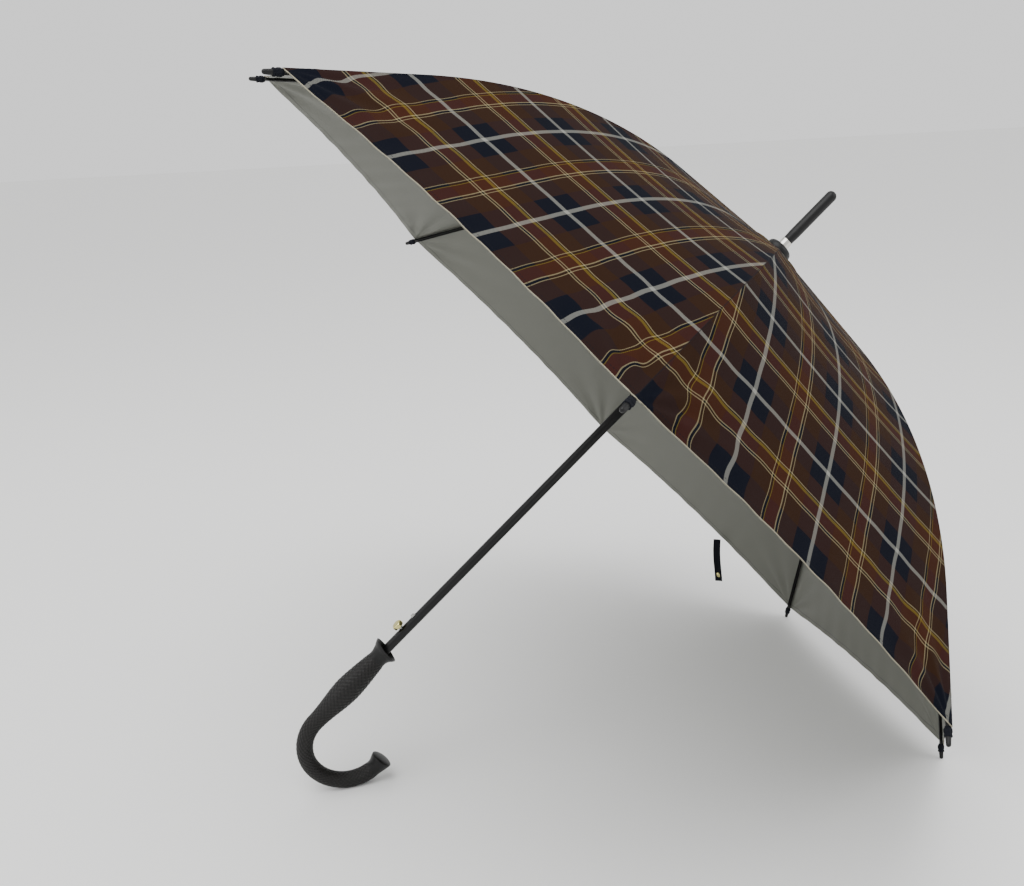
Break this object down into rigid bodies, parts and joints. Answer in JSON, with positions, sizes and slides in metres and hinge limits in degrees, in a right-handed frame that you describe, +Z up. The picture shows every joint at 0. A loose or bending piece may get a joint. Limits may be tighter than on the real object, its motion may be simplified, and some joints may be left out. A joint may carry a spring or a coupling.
{
  "type": "stick umbrella",
  "caption": "Open stick umbrella with a plaid canopy, folding rib frame, sliding runner, push button and crook handle.",
  "frame": {"origin": "on the floor under the middle of the open umbrella, which rests on two rib tips and its handle", "axes": "+Z up, +Y along the canopy's widest chord, +X from the handle towards the ferrule"},
  "size_m": [0.6772, 0.9486, 0.7269],
  "materials": {
    "handle_black": "black leather-look moulding, satin",
    "shaft_black": "black enamel, satin gloss",
    "frame_black": "black enamelled steel",
    "steel": "bright steel",
    "black_plastic": "moulded black",
    "ring_metal": "plated",
    "button_brass": "polished pale brass",
    "plaid_cloth": "plaid polyester with silver-grey backing",
    "strap_cloth": "dark navy webbing"
  },
  "bodies": {
    "shaft": {"shaft_tube": "shaft_black", "handle": "handle_black", "crown": "black_plastic", "crown_wire": "steel", "top_cap": "black_plastic", "ferrule_ring": "ring_metal", "ferrule_spike": "black_plastic", "button_spring": "steel"},
    "runner": {"runner": "black_plastic", "runner_wire": "steel"},
    "button": {"push_button": "button_brass"},
    "rib_inner_1": {"rib_inner_1": "frame_black"},
    "gore_inner_1": {"gore_inner_1": "plaid_cloth"},
    "gore_outer_1": {"gore_outer_1": "plaid_cloth", "tie_strap": "strap_cloth"},
    "rib_outer_1": {"rib_outer_1": "frame_black", "rib_tip_1": "black_plastic"},
    "stretcher_1": {"stretcher_1": "frame_black"},
    "rib_inner_2": {"rib_inner_2": "frame_black"},
    "gore_inner_2": {"gore_inner_2": "plaid_cloth"},
    "gore_outer_2": {"gore_outer_2": "plaid_cloth"},
    "rib_outer_2": {"rib_outer_2": "frame_black", "rib_tip_2": "black_plastic"},
    "stretcher_2": {"stretcher_2": "frame_black"},
    "rib_inner_3": {"rib_inner_3": "frame_black"},
    "gore_inner_3": {"gore_inner_3": "plaid_cloth"},
    "gore_outer_3": {"gore_outer_3": "plaid_cloth"},
    "rib_outer_3": {"rib_outer_3": "frame_black", "rib_tip_3": "black_plastic"},
    "stretcher_3": {"stretcher_3": "frame_black"},
    "rib_inner_4": {"rib_inner_4": "frame_black"},
    "gore_inner_4": {"gore_inner_4": "plaid_cloth"},
    "gore_outer_4": {"gore_outer_4": "plaid_cloth"},
    "rib_outer_4": {"rib_outer_4": "frame_black", "rib_tip_4": "black_plastic"},
    "stretcher_4": {"stretcher_4": "frame_black"},
    "rib_inner_5": {"rib_inner_5": "frame_black"},
    "gore_inner_5": {"gore_inner_5": "plaid_cloth"},
    "gore_outer_5": {"gore_outer_5": "plaid_cloth"},
    "rib_outer_5": {"rib_outer_5": "frame_black", "rib_tip_5": "black_plastic"},
    "stretcher_5": {"stretcher_5": "frame_black"},
    "rib_inner_6": {"rib_inner_6": "frame_black"},
    "gore_inner_6": {"gore_inner_6": "plaid_cloth"},
    "gore_outer_6": {"gore_outer_6": "plaid_cloth"},
    "rib_outer_6": {"rib_outer_6": "frame_black", "rib_tip_6": "black_plastic"},
    "stretcher_6": {"stretcher_6": "frame_black"},
    "rib_inner_7": {"rib_inner_7": "frame_black"},
    "gore_inner_7": {"gore_inner_7": "plaid_cloth"},
    "gore_outer_7": {"gore_outer_7": "plaid_cloth"},
    "rib_outer_7": {"rib_outer_7": "frame_black", "rib_tip_7": "black_plastic"},
    "stretcher_7": {"stretcher_7": "frame_black"},
    "rib_inner_8": {"rib_inner_8": "frame_black"},
    "gore_inner_8": {"gore_inner_8": "plaid_cloth"},
    "gore_outer_8": {"gore_outer_8": "plaid_cloth"},
    "rib_outer_8": {"rib_outer_8": "frame_black", "rib_tip_8": "black_plastic"},
    "stretcher_8": {"stretcher_8": "frame_black"}
  },
  "joints": [
    {"name": "rib_1_fold", "type": "hinge", "parent": "shaft", "child": "rib_inner_1", "pos_m": [0.2204, 0.00459, 0.52047], "axis": [-0.2465, 0.9239, 0.2927], "range_deg": [0, 73.73], "stiffness_Nm_per_rad": 0.25, "springref_deg": -143.24, "deforming": ["gore_inner_1", "gore_inner_2", "gore_inner_3", "gore_inner_4", "gore_inner_5", "gore_inner_6", "gore_inner_7", "gore_inner_8", "gore_outer_1", "gore_outer_2", "gore_outer_3", "gore_outer_4", "gore_outer_5", "gore_outer_6", "gore_outer_7", "gore_outer_8", "tie_strap"]},
    {"name": "rib_1_flex", "type": "hinge", "parent": "rib_inner_1", "child": "rib_outer_1", "pos_m": [0.32429, 0.10932, 0.27744], "axis": [-0.2465, 0.9239, 0.2927], "range_deg": [-23.1, 0]},
    {"name": "stretcher_1_pivot", "type": "hinge", "parent": "rib_inner_1", "child": "stretcher_1", "pos_m": [0.3135, 0.09353, 0.31816], "axis": [-0.2465, 0.9239, 0.2927], "range_deg": [-148.47, 0]},
    {"name": "gore_1_fold", "type": "hinge", "parent": "shaft", "child": "gore_inner_1", "pos_m": [0.21918, 0.00919, 0.52192], "axis": [-0.4554, 0.7071, 0.5409], "range_deg": [0, 73.13]},
    {"name": "gore_1_flex", "type": "hinge", "parent": "gore_inner_1", "child": "gore_outer_1", "pos_m": [0.27725, 0.18751, 0.3377], "axis": [-0.4554, 0.7071, 0.5409], "range_deg": [-25, 0]},
    {"name": "rib_2_fold", "type": "hinge", "parent": "shaft", "child": "rib_inner_2", "pos_m": [0.21622, 0.01109, 0.52544], "axis": [-0.5951, 0.3827, 0.7067], "range_deg": [0, 73.73]},
    {"name": "rib_2_flex", "type": "hinge", "parent": "rib_inner_2", "child": "rib_outer_2", "pos_m": [0.22472, 0.26391, 0.3957], "axis": [-0.5951, 0.3827, 0.7067], "range_deg": [-23.1, 0]},
    {"name": "stretcher_2_pivot", "type": "hinge", "parent": "rib_inner_2", "child": "stretcher_2", "pos_m": [0.2283, 0.22581, 0.41934], "axis": [-0.5951, 0.3827, 0.7067], "range_deg": [-148.47, 0]},
    {"name": "gore_2_fold", "type": "hinge", "parent": "shaft", "child": "gore_inner_2", "pos_m": [0.21326, 0.013, 0.52895], "axis": [-0.6441, 0, 0.765], "range_deg": [0, 73.13]},
    {"name": "gore_2_flex", "type": "hinge", "parent": "gore_inner_2", "child": "gore_outer_2", "pos_m": [0.15648, 0.26519, 0.48114], "axis": [-0.6441, 0, 0.765], "range_deg": [-25, 0]},
    {"name": "rib_3_fold", "type": "hinge", "parent": "shaft", "child": "rib_inner_3", "pos_m": [0.2103, 0.01109, 0.53247], "axis": [-0.5951, -0.3827, 0.7067], "range_deg": [0, 73.73]},
    {"name": "rib_3_flex", "type": "hinge", "parent": "rib_inner_3", "child": "rib_outer_3", "pos_m": [0.0839, 0.26391, 0.56294], "axis": [-0.5951, -0.3827, 0.7067], "range_deg": [-23.1, 0]},
    {"name": "stretcher_3_pivot", "type": "hinge", "parent": "rib_inner_3", "child": "stretcher_3", "pos_m": [0.10781, 0.22581, 0.56244], "axis": [-0.5951, -0.3827, 0.7067], "range_deg": [-148.47, 0]},
    {"name": "gore_3_fold", "type": "hinge", "parent": "shaft", "child": "gore_inner_3", "pos_m": [0.20734, 0.00919, 0.53599], "axis": [-0.4554, -0.7071, 0.5409], "range_deg": [0, 73.13]},
    {"name": "gore_3_flex", "type": "hinge", "parent": "gore_inner_3", "child": "gore_outer_3", "pos_m": [0.0357, 0.18751, 0.62458], "axis": [-0.4554, -0.7071, 0.5409], "range_deg": [-25, 0]},
    {"name": "rib_4_fold", "type": "hinge", "parent": "shaft", "child": "rib_inner_4", "pos_m": [0.20612, 0.00459, 0.53743], "axis": [-0.2465, -0.9239, 0.2927], "range_deg": [0, 73.73]},
    {"name": "rib_4_flex", "type": "hinge", "parent": "rib_inner_4", "child": "rib_outer_4", "pos_m": [-0.01567, 0.10932, 0.6812], "axis": [-0.2465, -0.9239, 0.2927], "range_deg": [-23.1, 0]},
    {"name": "stretcher_4_pivot", "type": "hinge", "parent": "rib_inner_4", "child": "stretcher_4", "pos_m": [0.02262, 0.09353, 0.66363], "axis": [-0.2465, -0.9239, 0.2927], "range_deg": [-148.47, 0]},
    {"name": "gore_4_fold", "type": "hinge", "parent": "shaft", "child": "gore_inner_4", "pos_m": [0.20489, 0, 0.5389], "axis": [0, -1, 0], "range_deg": [0, 73.13]},
    {"name": "gore_4_flex", "type": "hinge", "parent": "gore_inner_4", "child": "gore_outer_4", "pos_m": [-0.01432, 0, 0.684], "axis": [0, -1, 0], "range_deg": [-25, 0]},
    {"name": "rib_5_fold", "type": "hinge", "parent": "shaft", "child": "rib_inner_5", "pos_m": [0.20612, -0.00459, 0.53743], "axis": [0.2465, -0.9239, -0.2927], "range_deg": [0, 73.73]},
    {"name": "rib_5_flex", "type": "hinge", "parent": "rib_inner_5", "child": "rib_outer_5", "pos_m": [-0.01567, -0.10932, 0.6812], "axis": [0.2465, -0.9239, -0.2927], "range_deg": [-23.1, 0]},
    {"name": "stretcher_5_pivot", "type": "hinge", "parent": "rib_inner_5", "child": "stretcher_5", "pos_m": [0.02262, -0.09353, 0.66363], "axis": [0.2465, -0.9239, -0.2927], "range_deg": [-148.47, 0]},
    {"name": "gore_5_fold", "type": "hinge", "parent": "shaft", "child": "gore_inner_5", "pos_m": [0.20734, -0.00919, 0.53599], "axis": [0.4554, -0.7071, -0.5409], "range_deg": [0, 73.13]},
    {"name": "gore_5_flex", "type": "hinge", "parent": "gore_inner_5", "child": "gore_outer_5", "pos_m": [0.0357, -0.18751, 0.62458], "axis": [0.4554, -0.7071, -0.5409], "range_deg": [-25, 0]},
    {"name": "rib_6_fold", "type": "hinge", "parent": "shaft", "child": "rib_inner_6", "pos_m": [0.2103, -0.01109, 0.53247], "axis": [0.5951, -0.3827, -0.7067], "range_deg": [0, 73.73]},
    {"name": "rib_6_flex", "type": "hinge", "parent": "rib_inner_6", "child": "rib_outer_6", "pos_m": [0.0839, -0.26391, 0.56294], "axis": [0.5951, -0.3827, -0.7067], "range_deg": [-23.1, 0]},
    {"name": "stretcher_6_pivot", "type": "hinge", "parent": "rib_inner_6", "child": "stretcher_6", "pos_m": [0.10781, -0.22581, 0.56244], "axis": [0.5951, -0.3827, -0.7067], "range_deg": [-148.47, 0]},
    {"name": "gore_6_fold", "type": "hinge", "parent": "shaft", "child": "gore_inner_6", "pos_m": [0.21326, -0.013, 0.52895], "axis": [0.6441, 0, -0.765], "range_deg": [0, 73.13]},
    {"name": "gore_6_flex", "type": "hinge", "parent": "gore_inner_6", "child": "gore_outer_6", "pos_m": [0.15648, -0.26519, 0.48114], "axis": [0.6441, 0, -0.765], "range_deg": [-25, 0]},
    {"name": "rib_7_fold", "type": "hinge", "parent": "shaft", "child": "rib_inner_7", "pos_m": [0.21622, -0.01109, 0.52544], "axis": [0.5951, 0.3827, -0.7067], "range_deg": [0, 73.73]},
    {"name": "rib_7_flex", "type": "hinge", "parent": "rib_inner_7", "child": "rib_outer_7", "pos_m": [0.22472, -0.26391, 0.3957], "axis": [0.5951, 0.3827, -0.7067], "range_deg": [-23.1, 0]},
    {"name": "stretcher_7_pivot", "type": "hinge", "parent": "rib_inner_7", "child": "stretcher_7", "pos_m": [0.2283, -0.22581, 0.41934], "axis": [0.5951, 0.3827, -0.7067], "range_deg": [-148.47, 0]},
    {"name": "gore_7_fold", "type": "hinge", "parent": "shaft", "child": "gore_inner_7", "pos_m": [0.21918, -0.00919, 0.52192], "axis": [0.4554, 0.7071, -0.5409], "range_deg": [0, 73.13]},
    {"name": "gore_7_flex", "type": "hinge", "parent": "gore_inner_7", "child": "gore_outer_7", "pos_m": [0.27725, -0.18751, 0.3377], "axis": [0.4554, 0.7071, -0.5409], "range_deg": [-25, 0]},
    {"name": "rib_8_fold", "type": "hinge", "parent": "shaft", "child": "rib_inner_8", "pos_m": [0.2204, -0.00459, 0.52047], "axis": [0.2465, 0.9239, -0.2927], "range_deg": [0, 73.73]},
    {"name": "rib_8_flex", "type": "hinge", "parent": "rib_inner_8", "child": "rib_outer_8", "pos_m": [0.32429, -0.10932, 0.27744], "axis": [0.2465, 0.9239, -0.2927], "range_deg": [-23.1, 0]},
    {"name": "stretcher_8_pivot", "type": "hinge", "parent": "rib_inner_8", "child": "stretcher_8", "pos_m": [0.3135, -0.09353, 0.31816], "axis": [0.2465, 0.9239, -0.2927], "range_deg": [-148.47, 0]},
    {"name": "gore_8_fold", "type": "hinge", "parent": "shaft", "child": "gore_inner_8", "pos_m": [0.22163, 0, 0.51901], "axis": [0, 1, 0], "range_deg": [0, 73.13]},
    {"name": "gore_8_flex", "type": "hinge", "parent": "gore_inner_8", "child": "gore_outer_8", "pos_m": [0.32728, 0, 0.27829], "axis": [0, 1, 0], "range_deg": [-25, 0]},
    {"name": "runner_travel", "type": "hinge", "parent": "stretcher_1", "child": "runner", "pos_m": [0.12999, 0.00459, 0.44435], "axis": [-0.2465, 0.9239, 0.2927], "range_deg": [0, 74.73]},
    {"name": "button_press", "type": "slide", "parent": "shaft", "child": "button", "axis": [0.6441, 0, -0.765], "range_m": [0, 0.0014], "stiffness_N_per_m": 600, "springref_m": -0.0008}
  ],
  "couplings": [
    {"joint": "gore_1_fold", "follows": "rib_1_fold", "ratio": 0.99051},
    {"joint": "gore_1_flex", "follows": "rib_1_fold", "ratio": -0.33227},
    {"joint": "rib_1_flex", "follows": "rib_1_fold", "ratio": -0.30651},
    {"joint": "stretcher_1_pivot", "follows": "rib_1_fold", "ratio": -2},
    {"joint": "gore_2_fold", "follows": "rib_1_fold", "ratio": 0.99051},
    {"joint": "gore_2_flex", "follows": "rib_1_fold", "ratio": -0.33227},
    {"joint": "rib_2_fold", "follows": "rib_1_fold", "ratio": 1},
    {"joint": "rib_2_flex", "follows": "rib_1_fold", "ratio": -0.30651},
    {"joint": "stretcher_2_pivot", "follows": "rib_1_fold", "ratio": -2},
    {"joint": "gore_3_fold", "follows": "rib_1_fold", "ratio": 0.99051},
    {"joint": "gore_3_flex", "follows": "rib_1_fold", "ratio": -0.33227},
    {"joint": "rib_3_fold", "follows": "rib_1_fold", "ratio": 1},
    {"joint": "rib_3_flex", "follows": "rib_1_fold", "ratio": -0.30651},
    {"joint": "stretcher_3_pivot", "follows": "rib_1_fold", "ratio": -2},
    {"joint": "gore_4_fold", "follows": "rib_1_fold", "ratio": 0.99051},
    {"joint": "gore_4_flex", "follows": "rib_1_fold", "ratio": -0.33227},
    {"joint": "rib_4_fold", "follows": "rib_1_fold", "ratio": 1},
    {"joint": "rib_4_flex", "follows": "rib_1_fold", "ratio": -0.30651},
    {"joint": "stretcher_4_pivot", "follows": "rib_1_fold", "ratio": -2},
    {"joint": "gore_5_fold", "follows": "rib_1_fold", "ratio": 0.99051},
    {"joint": "gore_5_flex", "follows": "rib_1_fold", "ratio": -0.33227},
    {"joint": "rib_5_fold", "follows": "rib_1_fold", "ratio": 1},
    {"joint": "rib_5_flex", "follows": "rib_1_fold", "ratio": -0.30651},
    {"joint": "stretcher_5_pivot", "follows": "rib_1_fold", "ratio": -2},
    {"joint": "gore_6_fold", "follows": "rib_1_fold", "ratio": 0.99051},
    {"joint": "gore_6_flex", "follows": "rib_1_fold", "ratio": -0.33227},
    {"joint": "rib_6_fold", "follows": "rib_1_fold", "ratio": 1},
    {"joint": "rib_6_flex", "follows": "rib_1_fold", "ratio": -0.30651},
    {"joint": "stretcher_6_pivot", "follows": "rib_1_fold", "ratio": -2},
    {"joint": "gore_7_fold", "follows": "rib_1_fold", "ratio": 0.99051},
    {"joint": "gore_7_flex", "follows": "rib_1_fold", "ratio": -0.33227},
    {"joint": "rib_7_fold", "follows": "rib_1_fold", "ratio": 1},
    {"joint": "rib_7_flex", "follows": "rib_1_fold", "ratio": -0.30651},
    {"joint": "stretcher_7_pivot", "follows": "rib_1_fold", "ratio": -2},
    {"joint": "gore_8_fold", "follows": "rib_1_fold", "ratio": 0.99051},
    {"joint": "gore_8_flex", "follows": "rib_1_fold", "ratio": -0.33227},
    {"joint": "rib_8_fold", "follows": "rib_1_fold", "ratio": 1},
    {"joint": "rib_8_flex", "follows": "rib_1_fold", "ratio": -0.30651},
    {"joint": "stretcher_8_pivot", "follows": "rib_1_fold", "ratio": -2},
    {"joint": "runner_travel", "follows": "rib_1_fold", "ratio": 1}
  ]
}
